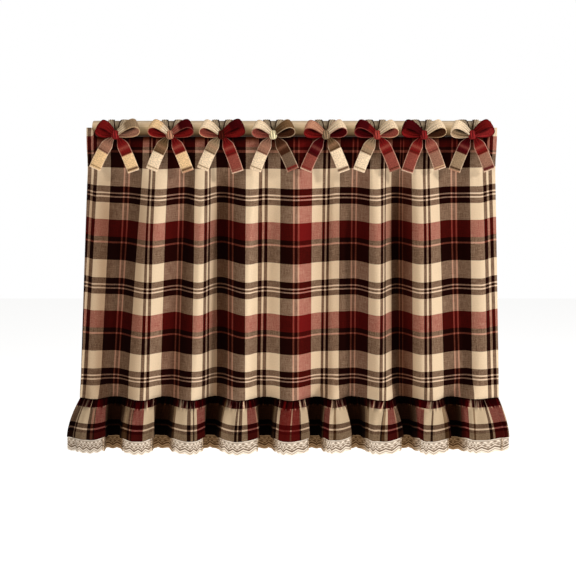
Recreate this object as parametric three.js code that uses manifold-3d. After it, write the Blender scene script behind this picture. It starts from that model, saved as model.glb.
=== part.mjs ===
// A tie-top cafe curtain on its rod: a plaid panel tied to the rod by eight bows, with a
// gathered ruffle sewn behind its lower edge and scalloped lace sewn behind the ruffle's.
// Millimetres, +Z up. X runs along the rod and -Y faces the room. The origin is on the
// rod's axis, half way along it.

import * as THREE from 'three';
import { mergeVertices } from 'three/addons/utils/BufferGeometryUtils.js';
import Module from 'manifold-3d';

const wasm = await Module();
wasm.setup();

// ---------------------------------------------------------------- driving dimensions

const ROD = { radius: 16, length: 740, facets: 32 };

const PANEL = { top: -15, seam: -500, cloth: 1.5, low: 0.9, rows: [0, 0.08, 0.28, 0.9, 1] };
const RUFFLE = { drop: 74, allowance: 8, bend: 30, flare: 1.7, cloth: 1.5 };
const LACE = { lap: 6, drop: 23.5, scallop: 2.5, lobe: 3, cloth: 1.2, gap: 2.8 };

// The panel and the ruffle behind it keep this much air between their faces.
const SEWN_GAP = 1.6;

// Columns of facets across each half fold, from a crest to the next valley.
const COLUMNS = 5;

// How much of the folds' depth the heading already has, and the share of the panel's drop by
// which they have the rest.
const DEPTH = { heading: 0.1, full: 0.4, growth: 0.8 };

// The heading is drawn up before the rod's underside, and falls back below the rod by this
// share of the panel's drop.
const HEADING = { out: 15, back: 0.15 };

// The panel's threads sag from fold to fold, as FOLDS says: in full from the first to the
// second share of its drop, and by the share that is left at the seam.
const SAG = { full: 0.25, until: 0.55, left: 0.2 };

// The two top corners stand up in front of the rod's ends as small ears. fall is the share of
// the panel's drop that they take.
const EAR = { rise: 16.5, forward: 20.5, inner: 351, middle: 360, outer: 370, fall: 0.08 };

// The cloth's folds from left to right. Each row is a crest, towards the room, or the valley
// after it. heading, low, seam and hem say where it stands along the rod: at the heading, a
// little above the seam, at the seam, and at the ruffle's hem. lowOut, seamOut and hemOut say
// how far it stands out there from the rod's axis, towards the room, and sag how far its
// threads hang below those at the panel's edges.
const FOLDS = [
  { heading: -379, low: -393, seam: -395, hem: -416, sag: -3, lowOut: 3, seamOut: 4, hemOut: 17 },
  { heading: -363, low: -372, seam: -366, hem: -373, sag: 1, lowOut: 2, seamOut: 15, hemOut: 33 },
  { heading: -313, low: -342, seam: -333, hem: -336, sag: 3, lowOut: -12, seamOut: -15, hemOut: -16 },
  { heading: -241, low: -277, seam: -277, hem: -282, sag: 8, lowOut: 20, seamOut: 22, hemOut: 35 },
  { heading: -193, low: -228, seam: -241, hem: -248, sag: 4, lowOut: -2, seamOut: -15, hemOut: -17 },
  { heading: -165, low: -181, seam: -186, hem: -184, sag: 8, lowOut: 19, seamOut: 21, hemOut: 35 },
  { heading: -134, low: -140, seam: -145, hem: -155, sag: 2, lowOut: -20, seamOut: -17, hemOut: -16 },
  { heading: -74, low: -89, seam: -98, hem: -104, sag: 8, lowOut: 22, seamOut: 23, hemOut: 37 },
  { heading: -46, low: -56, seam: -49, hem: -48, sag: 6, lowOut: 0, seamOut: -14, hemOut: -17 },
  { heading: 10, low: 0, seam: -2, hem: -11, sag: 8, lowOut: 22, seamOut: 24, hemOut: 38 },
  { heading: 63, low: 57, seam: 47, hem: 45, sag: 6, lowOut: -16, seamOut: -15, hemOut: -17 },
  { heading: 87, low: 85, seam: 78, hem: 74, sag: 4, lowOut: -8, seamOut: 15, hemOut: 34 },
  { heading: 111, low: 117, seam: 110, hem: 121, sag: 4, lowOut: -16, seamOut: -16, hemOut: -16 },
  { heading: 154, low: 162, seam: 171, hem: 156, sag: 8, lowOut: 20, seamOut: 23, hemOut: 36 },
  { heading: 192, low: 200, seam: 204, hem: 216, sag: 3, lowOut: -19, seamOut: -17, hemOut: -16 },
  { heading: 235, low: 243, seam: 259, hem: 250, sag: 8, lowOut: 20, seamOut: 22, hemOut: 35 },
  { heading: 291, low: 323, seam: 297, hem: 300, sag: 3, lowOut: -9, seamOut: -14, hemOut: -5 },
  { heading: 346, low: 352, seam: 340, hem: 340, sag: 3, lowOut: 8, seamOut: 14, hemOut: 31 },
  { heading: 378, low: 385, seam: 385, hem: 402, sag: -3, lowOut: 2, seamOut: 3, hemOut: 15 },
];

// Where the ruffle's hem turns, as shares of a half fold: it leaves a broad crest late, in a
// wall square to the room, and comes forward again from a valley more gently. round is how
// much of a plain wave is left in it, and wall how upright the wall is.
const HEM_TURN = { leave: [0.58, 0.82], return: [0.15, 0.5], round: 0.12, wall: 1 };

const BOW = { ribbon: 22, cloth: 1.6, waist: 7 };
const KNOT = { out: 29, height: -12.5, width: 16, depth: 13, tall: 16.5 };
const LOOP = { swell: 8.5, lean: 60, roll: [14, 32], forward: 0.18, start: 0.03, steps: 8 };
const TAIL = { start: [4.5, 1, -4], bend: [0.57, 0.3, 0.39], open: 0.35, endOut: 20, steps: 5 };
const STRAP = {
  apart: 14, atKnot: 5, width: 12, clearance: 1, out: 7.5, below: 7, sewn: 16, slope: 0.3,
  turns: 6, drawn: 0.55, tuck: new THREE.Vector3(0, 3, 2),
};

// The eight bows. at is the knot's place along the rod. For the left and the right side,
// reach and lift are a loop's length and its angle above level, and tail and drop say how far
// aside and how far below the knot the middle of a free end hangs.
const BOWS = [
  { at: -324, left: [34, 27, 40, 62], right: [45, 22, 32, 67] },
  { at: -224, left: [38, 25, 35, 64], right: [43, 22, 32, 67] },
  { at: -130, left: [38, 24, 35, 63], right: [43, 23, 30, 68] },
  { at: -35, left: [37, 23, 33, 65], right: [39, 24, 37, 64] },
  { at: 62, left: [39, 21, 37, 65], right: [37, 25, 34, 67] },
  { at: 156, left: [41, 22, 33, 66], right: [37, 24, 34, 65] },
  { at: 242, left: [41, 22, 30, 68], right: [38, 24, 31, 63] },
  { at: 330, left: [39, 21, 31, 66], right: [38, 25, 34, 65] },
];

// ------------------------------------------------------------------------ small tools

const { lerp, clamp, smoothstep, degToRad } = THREE.MathUtils;

// A closed body from a grid of points, skinned on both sides of the grid's own surface.
// point(column, row) gives a place on the surface; shift(row) moves it towards its back.
function skin(point, columns, rows, thickness, shift = () => 0) {
  const corners = [];
  for (let row = 0; row <= rows; row += 1) {
    for (let column = 0; column <= columns; column += 1) {
      const here = point(column, row);
      const along = point(Math.min(column + 1, columns), row)
        .sub(point(Math.max(column - 1, 0), row));
      const down = point(column, Math.min(row + 1, rows))
        .sub(point(column, Math.max(row - 1, 0)));
      const back = along.cross(down).normalize();
      corners.push(here.clone().addScaledVector(back, shift(row) - thickness / 2));
      corners.push(here.clone().addScaledVector(back, shift(row) + thickness / 2));
    }
  }
  const front = (column, row) => 2 * (row * (columns + 1) + column);
  const back = (column, row) => front(column, row) + 1;
  const faces = [];
  const quad = (a, b, c, d) => faces.push(a, b, c, a, c, d);
  for (let row = 0; row < rows; row += 1) {
    for (let column = 0; column < columns; column += 1) {
      quad(front(column, row), front(column, row + 1),
        front(column + 1, row + 1), front(column + 1, row));
      quad(back(column, row), back(column + 1, row),
        back(column + 1, row + 1), back(column, row + 1));
    }
  }
  for (let column = 0; column < columns; column += 1) {
    quad(front(column, 0), front(column + 1, 0), back(column + 1, 0), back(column, 0));
    quad(front(column, rows), back(column, rows),
      back(column + 1, rows), front(column + 1, rows));
  }
  for (let row = 0; row < rows; row += 1) {
    quad(front(0, row), back(0, row), back(0, row + 1), front(0, row + 1));
    quad(front(columns, row), front(columns, row + 1),
      back(columns, row + 1), back(columns, row));
  }
  const geometry = new THREE.BufferGeometry();
  geometry.setAttribute('position',
    new THREE.Float32BufferAttribute(corners.flatMap((corner) => corner.toArray()), 3));
  geometry.setIndex(faces);
  return geometry;
}

// A closed geometry as a solid that can be joined to others.
function solid(geometry) {
  const bare = geometry.clone();
  bare.deleteAttribute('normal');
  bare.deleteAttribute('uv');
  const welded = mergeVertices(bare, 1e-4);
  const index = welded.index.array;
  return new wasm.Manifold(new wasm.Mesh({
    numProp: 3,
    vertProperties: new Float32Array(welded.attributes.position.array),
    triVerts: new Uint32Array(index),
  }));
}

function joined(pieces) {
  const whole = pieces.map(solid).reduce((sum, piece) => sum.add(piece));
  const { vertProperties, triVerts } = whole.getMesh();
  const geometry = new THREE.BufferGeometry();
  geometry.setAttribute('position', new THREE.BufferAttribute(vertProperties, 3));
  geometry.setIndex(new THREE.BufferAttribute(triVerts, 1));
  return geometry;
}

function clothMaterial(color) {
  return new THREE.MeshStandardMaterial({ color, roughness: 0.95, metalness: 0 });
}

function named(name, geometry, material) {
  geometry.computeVertexNormals();
  const mesh = new THREE.Mesh(geometry, material);
  mesh.name = name;
  return mesh;
}

// ------------------------------------------------------------------- the hanging cloth

// The folds on either side of a place across the cloth, which counts half folds from 0.
function between(across) {
  const first = Math.min(Math.floor(across), FOLDS.length - 2);
  return { from: FOLDS[first], to: FOLDS[first + 1], share: across - first, first };
}

// A half wave, from 0 to 1.
function wave(share) {
  return (1 - Math.cos(Math.PI * share)) / 2;
}

// The same turn at the ruffle's hem.
function hemTurn(share, first) {
  const [start, end] = first % 2 === 1 ? HEM_TURN.leave : HEM_TURN.return;
  return lerp(wave(clamp((share - start) / (end - start), 0, 1)), wave(share), HEM_TURN.round);
}

// How far across a half fold its hem has come: not at all while it goes back in the wall.
function hemAside(share, first) {
  const [start, end] = HEM_TURN.leave;
  const wall = HEM_TURN.wall * (end - start);
  return first % 2 === 1 ? (share - wall * smoothstep(share, start, end)) / (1 - wall) : share;
}

// Where the cloth stands along the rod (x) and towards the room (out), at the ruffle's hem.
function hemAt(across) {
  const { from, to, share, first } = between(across);
  return {
    x: lerp(from.hem, to.hem, hemAside(share, first)),
    out: lerp(from.hemOut, to.hemOut, hemTurn(share, first)),
  };
}

// The panel's mid surface: across counts half folds, and fall runs from 0 at the heading to
// 1 at the seam.
function panelPoint(across, fall) {
  const { from, to, share } = between(across);
  const along = (level) => lerp(from[level], to[level], share);
  const waved = (level) => lerp(from[level], to[level], wave(share));
  const heading = along('heading');
  const towardsSeam = clamp((fall - PANEL.low) / (1 - PANEL.low), 0, 1);
  const low = lerp(heading, along('low'), Math.min(1, fall / PANEL.low));
  const grown = smoothstep(fall, 0, DEPTH.full) ** DEPTH.growth;
  const depth = lerp(DEPTH.heading, 1, grown) * lerp(waved('lowOut'), waved('seamOut'), towardsSeam);
  const sag = waved('sag') * smoothstep(fall, 0, SAG.full)
    * lerp(1, SAG.left, smoothstep(fall, SAG.until, 1));
  const drawn = HEADING.out * (1 - smoothstep(fall, 0, HEADING.back));
  const reach = Math.abs(heading);
  const top = Math.max(0, 1 - fall / EAR.fall);
  const forward = top * smoothstep(reach, EAR.inner, EAR.middle);
  const rise = top * smoothstep(reach, EAR.middle, EAR.outer);
  return new THREE.Vector3(
    lerp(low, along('seam'), towardsSeam),
    -lerp(depth + drawn, EAR.forward, forward),
    lerp(PANEL.top, PANEL.seam, fall) - sag + EAR.rise * rise,
  );
}

// The ruffle's mid surface: length is measured down the cloth from the seam, and is negative
// in the seam allowance, which lies along the panel. The flare is taken out of the drop, so
// the cloth keeps its length.
function rufflePoint(across, length) {
  if (length < 0) return panelPoint(across, 1 + length / (PANEL.top - PANEL.seam));
  const seam = panelPoint(across, 1);
  const hem = hemAt(across);
  const aside = hem.x - seam.x;
  const forward = hem.out + seam.y;
  const drop = Math.sqrt(RUFFLE.drop ** 2 - aside ** 2 - forward ** 2);
  const fall = length / RUFFLE.drop;
  const flare = 1 - (1 - fall) ** RUFFLE.flare;
  return new THREE.Vector3(
    seam.x + aside * flare,
    seam.y - forward * flare,
    seam.z - drop * fall,
  );
}

const clothColumns = (FOLDS.length - 1) * COLUMNS;

function panelGeometry() {
  const place = (column, row) => panelPoint(column / COLUMNS, PANEL.rows[row]);
  return skin(place, clothColumns, PANEL.rows.length - 1, PANEL.cloth);
}

// The ruffle starts with its seam allowance, behind the panel's lower edge.
function ruffleGeometry() {
  const lengths = [-RUFFLE.allowance, 0, RUFFLE.bend, RUFFLE.drop];
  const place = (column, row) => rufflePoint(column / COLUMNS, lengths[row]);
  const behind = (PANEL.cloth + RUFFLE.cloth) / 2 + SEWN_GAP;
  const shift = (row) => behind * (1 - Math.max(0, lengths[row]) / RUFFLE.drop);
  return skin(place, clothColumns, lengths.length - 1, RUFFLE.cloth, shift);
}

// The lace laps behind the ruffle's lowest facets. It has two columns to each of the cloth's,
// so every second one lies in the middle of a facet. A scallop is LACE.lobe columns wide, and
// hangs down between them.
function laceGeometry() {
  const lapShare = LACE.lap / (RUFFLE.drop - RUFFLE.bend);
  const down = (across, length) => {
    const hem = rufflePoint(across, RUFFLE.drop);
    return length > RUFFLE.drop
      ? hem.setZ(hem.z - length + RUFFLE.drop)
      : hem.lerp(rufflePoint(across, RUFFLE.bend), lapShare);
  };
  const place = (column, row) => {
    const tip = column % LACE.lobe === 0 ? 0 : LACE.scallop;
    const length = RUFFLE.drop + (row === 0 ? -LACE.lap : LACE.drop + tip);
    const before = down(Math.floor(column / 2) / COLUMNS, length);
    return before.lerp(down(Math.ceil(column / 2) / COLUMNS, length), 0.5);
  };
  const behind = (RUFFLE.cloth + LACE.cloth) / 2 + LACE.gap;
  return skin(place, 2 * clothColumns, 1, LACE.cloth, () => behind);
}

// --------------------------------------------------------------------------- the bows

// A ribbon: middle(t) is a point on its middle line and across(t) half of its width, as a
// vector, for t from 0 to 1.
function ribbon(middle, across, steps) {
  const place = (column, row) => {
    const t = row / steps;
    return middle(t).addScaledVector(across(t), 2 * column - 1);
  };
  return skin(place, 1, steps, BOW.cloth);
}

// Half the ribbon's width, drawn in to the waist at the knot; free is 0 there and 1 once flat.
function halfWidth(free) {
  return lerp(BOW.waist, BOW.ribbon, free) / 2;
}

// One loop, with its knot at the origin: a drop-shaped turn of ribbon whose front layer stands
// above and before its back layer. Both face upwards a little, by LOOP.roll degrees.
function loop(side, reach, liftDegrees) {
  const lift = degToRad(liftDegrees);
  const lean = degToRad(LOOP.lean);
  const outward = new THREE.Vector3(side * Math.cos(lift), -LOOP.forward, Math.sin(lift));
  const upward = new THREE.Vector3(-side * Math.sin(lift), 0, Math.cos(lift));
  const swelling = new THREE.Vector3(0, -Math.cos(lean), 0).addScaledVector(upward, Math.sin(lean));
  const turn = (t) => Math.PI * lerp(LOOP.start, 1 - LOOP.start, t);
  const middle = (t) => new THREE.Vector3()
    .addScaledVector(outward, reach * Math.sin(turn(t)))
    .addScaledVector(swelling, LOOP.swell * Math.sin(2 * turn(t)));
  const across = (t) => {
    const [backRoll, frontRoll] = LOOP.roll;
    const roll = degToRad(lerp(backRoll, frontRoll, (1 + Math.sin(2 * turn(t))) / 2));
    const facing = upward.clone().multiplyScalar(Math.cos(roll));
    facing.y += Math.sin(roll);
    return facing.multiplyScalar(side * halfWidth(Math.sin(turn(t))));
  };
  return ribbon(middle, across, LOOP.steps);
}

// One free tail, from the knot down and aside to a square-cut end.
function tail(side, aside, drop) {
  const inward = KNOT.out - TAIL.endOut;
  const [startAside, startBack, startUp] = TAIL.start;
  const [bendAside, bendBack, bendDown] = TAIL.bend;
  const path = new THREE.QuadraticBezierCurve3(
    new THREE.Vector3(side * startAside, startBack, startUp),
    new THREE.Vector3(side * aside * bendAside, inward * bendBack, -drop * bendDown),
    new THREE.Vector3(side * aside, inward, -drop),
  );
  const across = (t) => {
    const along = path.getTangent(t);
    const level = new THREE.Vector3(-along.z, 0, along.x).normalize();
    return level.multiplyScalar(halfWidth(smoothstep(t, 0, TAIL.open)));
  };
  return ribbon((t) => path.getPoint(t), across, TAIL.steps);
}

// One strap, from where it is sewn behind the heading, up behind the rod, over it and down to
// the knot, into which it is tucked. It leaves its stitches in a straight line to the rod, lies
// round it in flats, and is drawn in from STRAP.drawn of its rows on.
function strap(side, knot) {
  const sewnTop = new THREE.Vector3(0, -STRAP.out, PANEL.top - STRAP.below);
  const sewnEnd = sewnTop.clone().add(new THREE.Vector3(0, STRAP.slope * STRAP.sewn, -STRAP.sewn));
  const clear = ROD.radius + STRAP.clearance + BOW.cloth / 2;
  const leaves = Math.atan2(sewnTop.z, sewnTop.y) + Math.acos(clear / sewnTop.length());
  const arrives = Math.PI;
  const flat = (arrives - leaves) / STRAP.turns;
  const radius = clear / Math.cos(flat / 2);
  const route = [sewnEnd, sewnTop];
  for (let turn = 0; turn <= STRAP.turns; turn += 1) {
    const angle = leaves + turn * flat;
    route.push(new THREE.Vector3(0, radius * Math.cos(angle), radius * Math.sin(angle)));
  }
  route.push(knot.clone().add(STRAP.tuck));
  const last = route.length - 1;
  const place = (column, row) => {
    const drawn = smoothstep(row / last, STRAP.drawn, 1);
    const centre = side * lerp(STRAP.apart, STRAP.atKnot, drawn);
    const half = lerp(STRAP.width, BOW.waist, drawn) / 2;
    return route[row].clone().setX(knot.x + centre + half * (1 - 2 * column));
  };
  return skin(place, 1, last, BOW.cloth);
}

function bowGeometry({ at, left, right }) {
  const knot = new THREE.Vector3(at, -KNOT.out, KNOT.height);
  const lump = new THREE.SphereGeometry(0.5, 8, 4).scale(KNOT.width, KNOT.depth, KNOT.tall);
  const sides = [[-1, left], [1, right]];
  const hung = sides.flatMap(([side, [reach, lift, aside, drop]]) => [
    loop(side, reach, lift),
    tail(side, aside, drop),
  ]);
  const tied = [lump, ...hung].map((piece) => piece.translate(knot.x, knot.y, knot.z));
  return joined([...tied, strap(-1, knot), strap(1, knot)]);
}

// ---------------------------------------------------------------------------- the rod

function rodGeometry() {
  return new THREE.CylinderGeometry(ROD.radius, ROD.radius, ROD.length, ROD.facets)
    .rotateZ(Math.PI / 2);
}

// ----------------------------------------------------------------------- the assembly

const plaid = clothMaterial(0x8a5f45);
const curtain = new THREE.Group();
curtain.add(named('rod', rodGeometry(),
  new THREE.MeshStandardMaterial({ color: 0xcbb596, roughness: 0.5, metalness: 0 })));
curtain.add(named('panel', panelGeometry(), plaid));
curtain.add(named('ruffle', ruffleGeometry(), plaid));
curtain.add(named('lace_edging', laceGeometry(), clothMaterial(0xdcc9a8)));
BOWS.forEach((bow, index) => {
  curtain.add(named(`bow_${index + 1}`, bowGeometry(bow), plaid));
});

export default curtain;
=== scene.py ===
"""A tie-top cafe curtain on its rod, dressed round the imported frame.

Shapes are worked out in millimetres, in the frame's own axes, and made in metres. The folds,
the ruffle, the lace and the bows repeat the named sizes of the part's source.
"""

import math
from functools import partialmethod

import bpy
import numpy as np
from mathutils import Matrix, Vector


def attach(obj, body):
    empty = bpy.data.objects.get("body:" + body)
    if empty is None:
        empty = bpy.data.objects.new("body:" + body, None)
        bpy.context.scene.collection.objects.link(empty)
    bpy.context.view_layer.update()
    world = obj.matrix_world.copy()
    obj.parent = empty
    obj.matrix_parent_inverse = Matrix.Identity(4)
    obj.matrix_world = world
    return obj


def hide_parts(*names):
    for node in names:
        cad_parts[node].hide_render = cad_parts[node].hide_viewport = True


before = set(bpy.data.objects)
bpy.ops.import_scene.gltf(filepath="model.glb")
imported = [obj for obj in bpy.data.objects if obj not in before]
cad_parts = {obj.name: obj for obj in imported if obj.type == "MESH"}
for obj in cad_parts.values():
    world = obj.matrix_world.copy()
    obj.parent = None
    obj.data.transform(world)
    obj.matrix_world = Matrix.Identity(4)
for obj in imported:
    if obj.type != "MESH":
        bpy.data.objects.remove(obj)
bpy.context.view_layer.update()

MM = 0.001

# ------------------------------------------------------------------- sizes, in millimetres

ROD = dict(radius=16, length=740, edge=1.2)
PANEL = dict(top=-15, seam=-500, low=0.9, cloth=1.0)
RUFFLE = dict(drop=74, allowance=8, flare=1.7, cloth=0.9)
LACE = dict(lap=6, drop=23.5, scallop=2.5, lobe=0.3, repeat=24, cloth=0.7, gap=2.8)
SEWN = dict(panel=1.5, ruffle=1.5, lace=1.2, gap=1.6)
DEPTH = dict(heading=0.1, full=0.4, growth=0.8)
HEADING = dict(out=15, back=0.15)
SAG = dict(full=0.25, until=0.55, left=0.2)
EAR = dict(rise=16.5, forward=20.5, inner=351, middle=360, outer=370, fall=0.08, fold=44)
HEM_TURN = dict(leave=(0.58, 0.82), back=(0.15, 0.5), round=0.12)

# The folds from left to right, crests and valleys in turn. heading, low, seam and hem are
# places along the rod, low_out, seam_out and hem_out distances towards the room, and sag is
# how far the threads hang below those at the sides.
FOLD_COLUMNS = ("heading", "low", "seam", "hem", "sag", "low_out", "seam_out", "hem_out")
FOLDS = np.array([
    (-379, -393, -395, -416, -3, 3, 4, 17),
    (-363, -372, -366, -373, 1, 2, 15, 33),
    (-313, -342, -333, -336, 3, -12, -15, -16),
    (-241, -277, -277, -282, 8, 20, 22, 35),
    (-193, -228, -241, -248, 4, -2, -15, -17),
    (-165, -181, -186, -184, 8, 19, 21, 35),
    (-134, -140, -145, -155, 2, -20, -17, -16),
    (-74, -89, -98, -104, 8, 22, 23, 37),
    (-46, -56, -49, -48, 6, 0, -14, -17),
    (10, 0, -2, -11, 8, 22, 24, 38),
    (63, 57, 47, 45, 6, -16, -15, -17),
    (87, 85, 78, 74, 4, -8, 15, 34),
    (111, 117, 110, 121, 4, -16, -16, -16),
    (154, 162, 171, 156, 8, 20, 23, 36),
    (192, 200, 204, 216, 3, -19, -17, -16),
    (235, 243, 259, 250, 8, 20, 22, 35),
    (291, 323, 297, 300, 3, -9, -14, -5),
    (346, 352, 340, 340, 3, 8, 14, 31),
    (378, 385, 385, 402, -3, 2, 3, 15),
], float)
LAST_FOLD = len(FOLDS) - 1

# How fine the sheets are: columns to a half fold, and rows.
GRIDS = dict(panel=(20, 80), ruffle=(46, 46), lace=(78, 29))
# Small random relief: its seed, how many waves, and the fewest and most to a half fold. Then
# how high each is.
UNEVEN = dict(creases=(3, 7, 0.7, 1.7), heading=(5, 5, 2.5, 4.5), seam=(7, 6, 6, 9),
              pleats=(11, 5, 0.5, 1.4), ruffle=(13, 6, 1.3, 2.6))
RELIEF = dict(creases=1.3, heading=1, seam=0.7, pleats=2.2, ruffle=1.6)
# The gathers under the seam: how far apart they are, and how much painted shade and
# highlight they lay on the cloth.
PLEATS = dict(apart=12.5, tone=0.4)

# ------------------------------------------------------------------------------- the dyes and the painted shade

# Colours as they look, red, green and blue from 0 to 255.
DYES = dict(
    cream=(228, 203, 170), pale=(226, 198, 168), black=(30, 10, 5), wine=(42, 12, 8),
    russet=(66, 24, 17), burgundy=(104, 25, 24), crimson=(88, 12, 16), pink=(160, 92, 78),
    linen=(228, 198, 172), bark=(66, 46, 32), smoke=(100, 80, 64),
    rose=(150, 88, 72), brown=(112, 84, 58), olive=(98, 74, 52), tan=(218, 182, 136),
    taupe=(142, 118, 92), mauve=(138, 98, 80), coral=(160, 66, 58), umber=(60, 36, 24),
    ivory=(238, 222, 178), ruby=(132, 40, 40), garnet=(64, 12, 16), fawn=(180, 128, 102),
    dusty=(128, 66, 56),
)

# The power of a dye at which warp and weft mix, and the power that turns a look into light.
YARN = 0.85
GAMMA = 2.2

# The weave. slubs and mottle are counts to a millimetre across and down, twill is in
# millimetres, and slubbed, mottled and ribbed are what each adds to the warp's share.
WEAVE = dict(slubs=(0.9, 0.06), mottle=(0.45, 0.45), twill=1.5, slubbed=0.35, mottled=0.25,
             ribbed=0.06, depth=0.25)

# The lace's cord colour, the painted shade in its furrows and net holes, and what the painted
# shade in the ruffle's valleys keeps of its red, green and blue.
LACE_COLOURS_AND_SHADES = dict(cord=(250, 236, 218), furrow=(84, 62, 44), deep=(0.68, 0.58, 0.46))
# The lace's dark lines, painted shade in its furrows: how far below its zigzag each is, half
# its width, and how dark it is. The net's holes get painted shade as well.
# The zigzag, the line of the plain band and the net are counted from the ruffle's hem.
LACE_LINES = [(0, 1.3, 1.0), (4.6, 1.0, 0.5), (-4.6, 1.0, 0.5), (-8.5, 0.9, 0.35)]
LACE_BAND = (3.4, 0.8, 0.45)
LACE_ZIGZAG = dict(low=14, rise=5)
LACE_NET = dict(start=4, short=1.5, slant=1.1, meshes=2, dark=0.45)

WOOD = dict(dark=(192, 175, 148), light=(218, 205, 182), spread=(0.3, 0.7),
            grain=(14, 420, 420), depth=0.2)

# Painted light and shade on the rod: what it keeps of its red, green and blue, from its shaded
# underside through a painted highlight to its darker top edge. strapped and dark are the width
# and depth of the painted shadow between a bow's straps.
ROD_PAINTED_LIGHT = dict(strapped=9, dark=0.35,
                up=(-1, -0.75, -0.4, 0.1, 0.55, 0.9, 1),
                red=(0.3, 0.42, 0.66, 0.92, 1.06, 0.98, 0.74),
                green=(0.22, 0.33, 0.57, 0.86, 1.0, 0.94, 0.72),
                blue=(0.13, 0.22, 0.44, 0.76, 0.94, 0.9, 0.7))

# The painted shade at its darkest: what the deepest folds and shadows keep of their red, green
# and blue.
DEEP = (0.33, 0.2, 0.11)

# Painted shade on the cloth: how dark it is painted in its valleys and walls, in the rod's
# shadow at its top edge and heading, in each bow's shadow as far as it reaches, and on its
# back. all is what the whole ruffle keeps.
PANEL_DEEP = dict(valleys=0.15, walls=0.75, edge=0.7, heading=0.25, bows=0.5, reach=15,
                  back=0.3)
RUFFLE_DEEP = dict(all=0.85, valleys=0.88, back=0.6)
# How much painted shade each piece gets near its left end, which the light reaches least.
LEFT_LOSS = dict(panel=0.07, ruffle=0.09, lace=0.12)
# The walls that turn away from the light are duller: where, counted in half folds, and how
# much.
SHADES = [
    (0.4, 0.46), (1.4, 0.46), (2.6, 0.3), (4.4, 0.32), (6.1, 0.5), (10.8, 0.2), (11.5, 0.1),
    (12.8, 0.15), (14.1, 0.6), (14.9, 0.15), (16.9, 0.1),
]

# The plaid across the panel: where each stripe starts, counted from the middle of a pale
# line, and its dye. A "band" stripe takes its dye from BANDS.
WARP_REPEAT = 120
WARP = [
    (0, "cream"), (1.9, "black"), (8.6, "cream"), (32.6, "band"), (54.4, "rose"),
    (57.4, "wine"), (62.6, "rose"), (65.6, "band"), (87.4, "cream"), (111.4, "black"),
    (118.1, "cream"),
]
# The broad dark bands from left to right, two to each repeat.
BANDS = [
    "black", "black", "wine", "black", "black", "black", "black", "burgundy",
    "black", "wine", "black", "russet", "black", "black", "black", "black",
]
# Where the repeats of the warp stand along the rod, which drift from fold to fold: each
# one's pale line and the two sides of its dark band, at two heights.
REPEAT_PLACES = (0, 32.6, 87.4)
REPEAT_HEIGHTS = (-146, -489)
REPEATS = [
    ((-375, -342, -283), (-392, -359, -305)), ((-263, -234, -181), (-272, -246, -186)),
    ((-157, -142, -86), (-162, -142, -87)), ((-54, -22, 37), (-58, -23, 35)),
    ((64, 89, 144), (60, 87, 140)), ((171, 186, 223), (168, 187, 225)),
    ((250, 274, 332), (251, 282, 337)), ((365, 398, 453), (373, 406, 461)),
]
# The plaid down the cloth, counted from the top of a broad cream stripe.
WEFT_REPEAT = 171
WEFT_START = 55
WEFT = [
    (0, "cream"), (33, "black"), (44.2, "linen"), (47, "black"), (51.2, "linen"),
    (54, "black"), (64, "cream"), (95.5, "burgundy"), (127.2, "black"),
    (135.8, "pink"), (139.4, "black"),
]
# Near the heading its stripes lie a little lower: down to WEFT_START they have places of their
# own, counted from the panel's top edge.
HEADING_WEFT = [
    (-60, "black"), (-52, "cream"), (-20.5, "burgundy"), (18, "wine"), (23.5, "pink"),
    (28, "black"),
]
# The ruffle is cut from the same cloth at another place. Each row is one front fold: where
# its stripes start, counted from the fold's crest, and their dyes.
RUFFLE_WARP = [
    [(-60, "black"), (-36, "pale"), (-32, "umber"), (-27, "cream"), (-5, "black"),
     (1, "rose"), (6.5, "black"), (8, "crimson"), (39, "black")],
    [(-36, "brown"), (-22, "wine"), (-18.5, "rose"), (-16, "wine"), (-13, "crimson"),
     (6.5, "wine"), (8.5, "cream"), (31, "black")],
    [(-46, "brown"), (-36, "cream"), (-9, "black"), (-2.5, "cream"), (1, "black"),
     (4.5, "cream"), (8, "crimson"), (30, "black")],
    [(-37, "brown"), (-29, "cream"), (-4, "black"), (0.5, "cream"), (5, "black"),
     (12, "cream"), (20.5, "crimson"), (41, "rose"), (43, "black")],
    [(-52, "olive"), (-31, "black"), (-21.5, "pale"), (-17, "burgundy"), (5, "rose"),
     (8, "burgundy"), (24.5, "wine"), (26.5, "cream"), (42, "black")],
    [(-32, "brown"), (-25, "crimson"), (-9, "cream"), (-1, "brown"), (6.5, "cream"),
     (28.5, "black"), (31, "cream"), (35, "black")],
    [(-31, "brown"), (-17, "cream"), (4, "black"), (7, "brown"), (11.5, "cream"),
     (17, "crimson"), (35, "rose"), (37, "black")],
    [(-32, "wine"), (-25, "crimson"), (-10, "cream"), (2, "black"), (6.5, "cream"),
     (30, "brown"), (38, "wine")],
    [(-60, "black"), (-36, "crimson"), (-15, "cream"), (-7, "brown"), (-4, "cream"),
     (22.5, "black"), (28.5, "pale"), (33, "crimson"), (78, "pale")],
]
# The share of the warp in the ruffle's weave, where it isn't half.
WARP_SHARE = dict(crimson=0.54, burgundy=0.78)
# How much deeper its colours are than the panel's.
RUFFLE_DEPTH = 1.12
# The painted highlights on its gathers, drawn as pale lines of warp: their counts to a
# millimetre across and down, how strong they are, and how far below the seam they are full
# and gone.
GATHER_HIGHLIGHTS = dict(pace=(0.26, 0.02), gain=5.0, loss=2.6, full=9.0, none=19.0)
RUFFLE_WEFT = [
    (-20, "garnet"), (14.5, "cream"), (44, "black"), (52.3, "linen"), (55.3, "black"),
    (61, "bark"),
]
RUFFLE_WEFT_END = 90


# -------------------------------------------------------------------------- small tools

def lerp(start, end, share):
    return start + (end - start) * share


def smooth(value, low, high):
    share = np.clip((value - low) / (high - low), 0, 1)
    return share * share * (3 - 2 * share)


def fading(value, low, high):
    return 1 - smooth(value, low, high)


def bell(distance, width):
    return np.exp(-(distance / width) ** 2)


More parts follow.
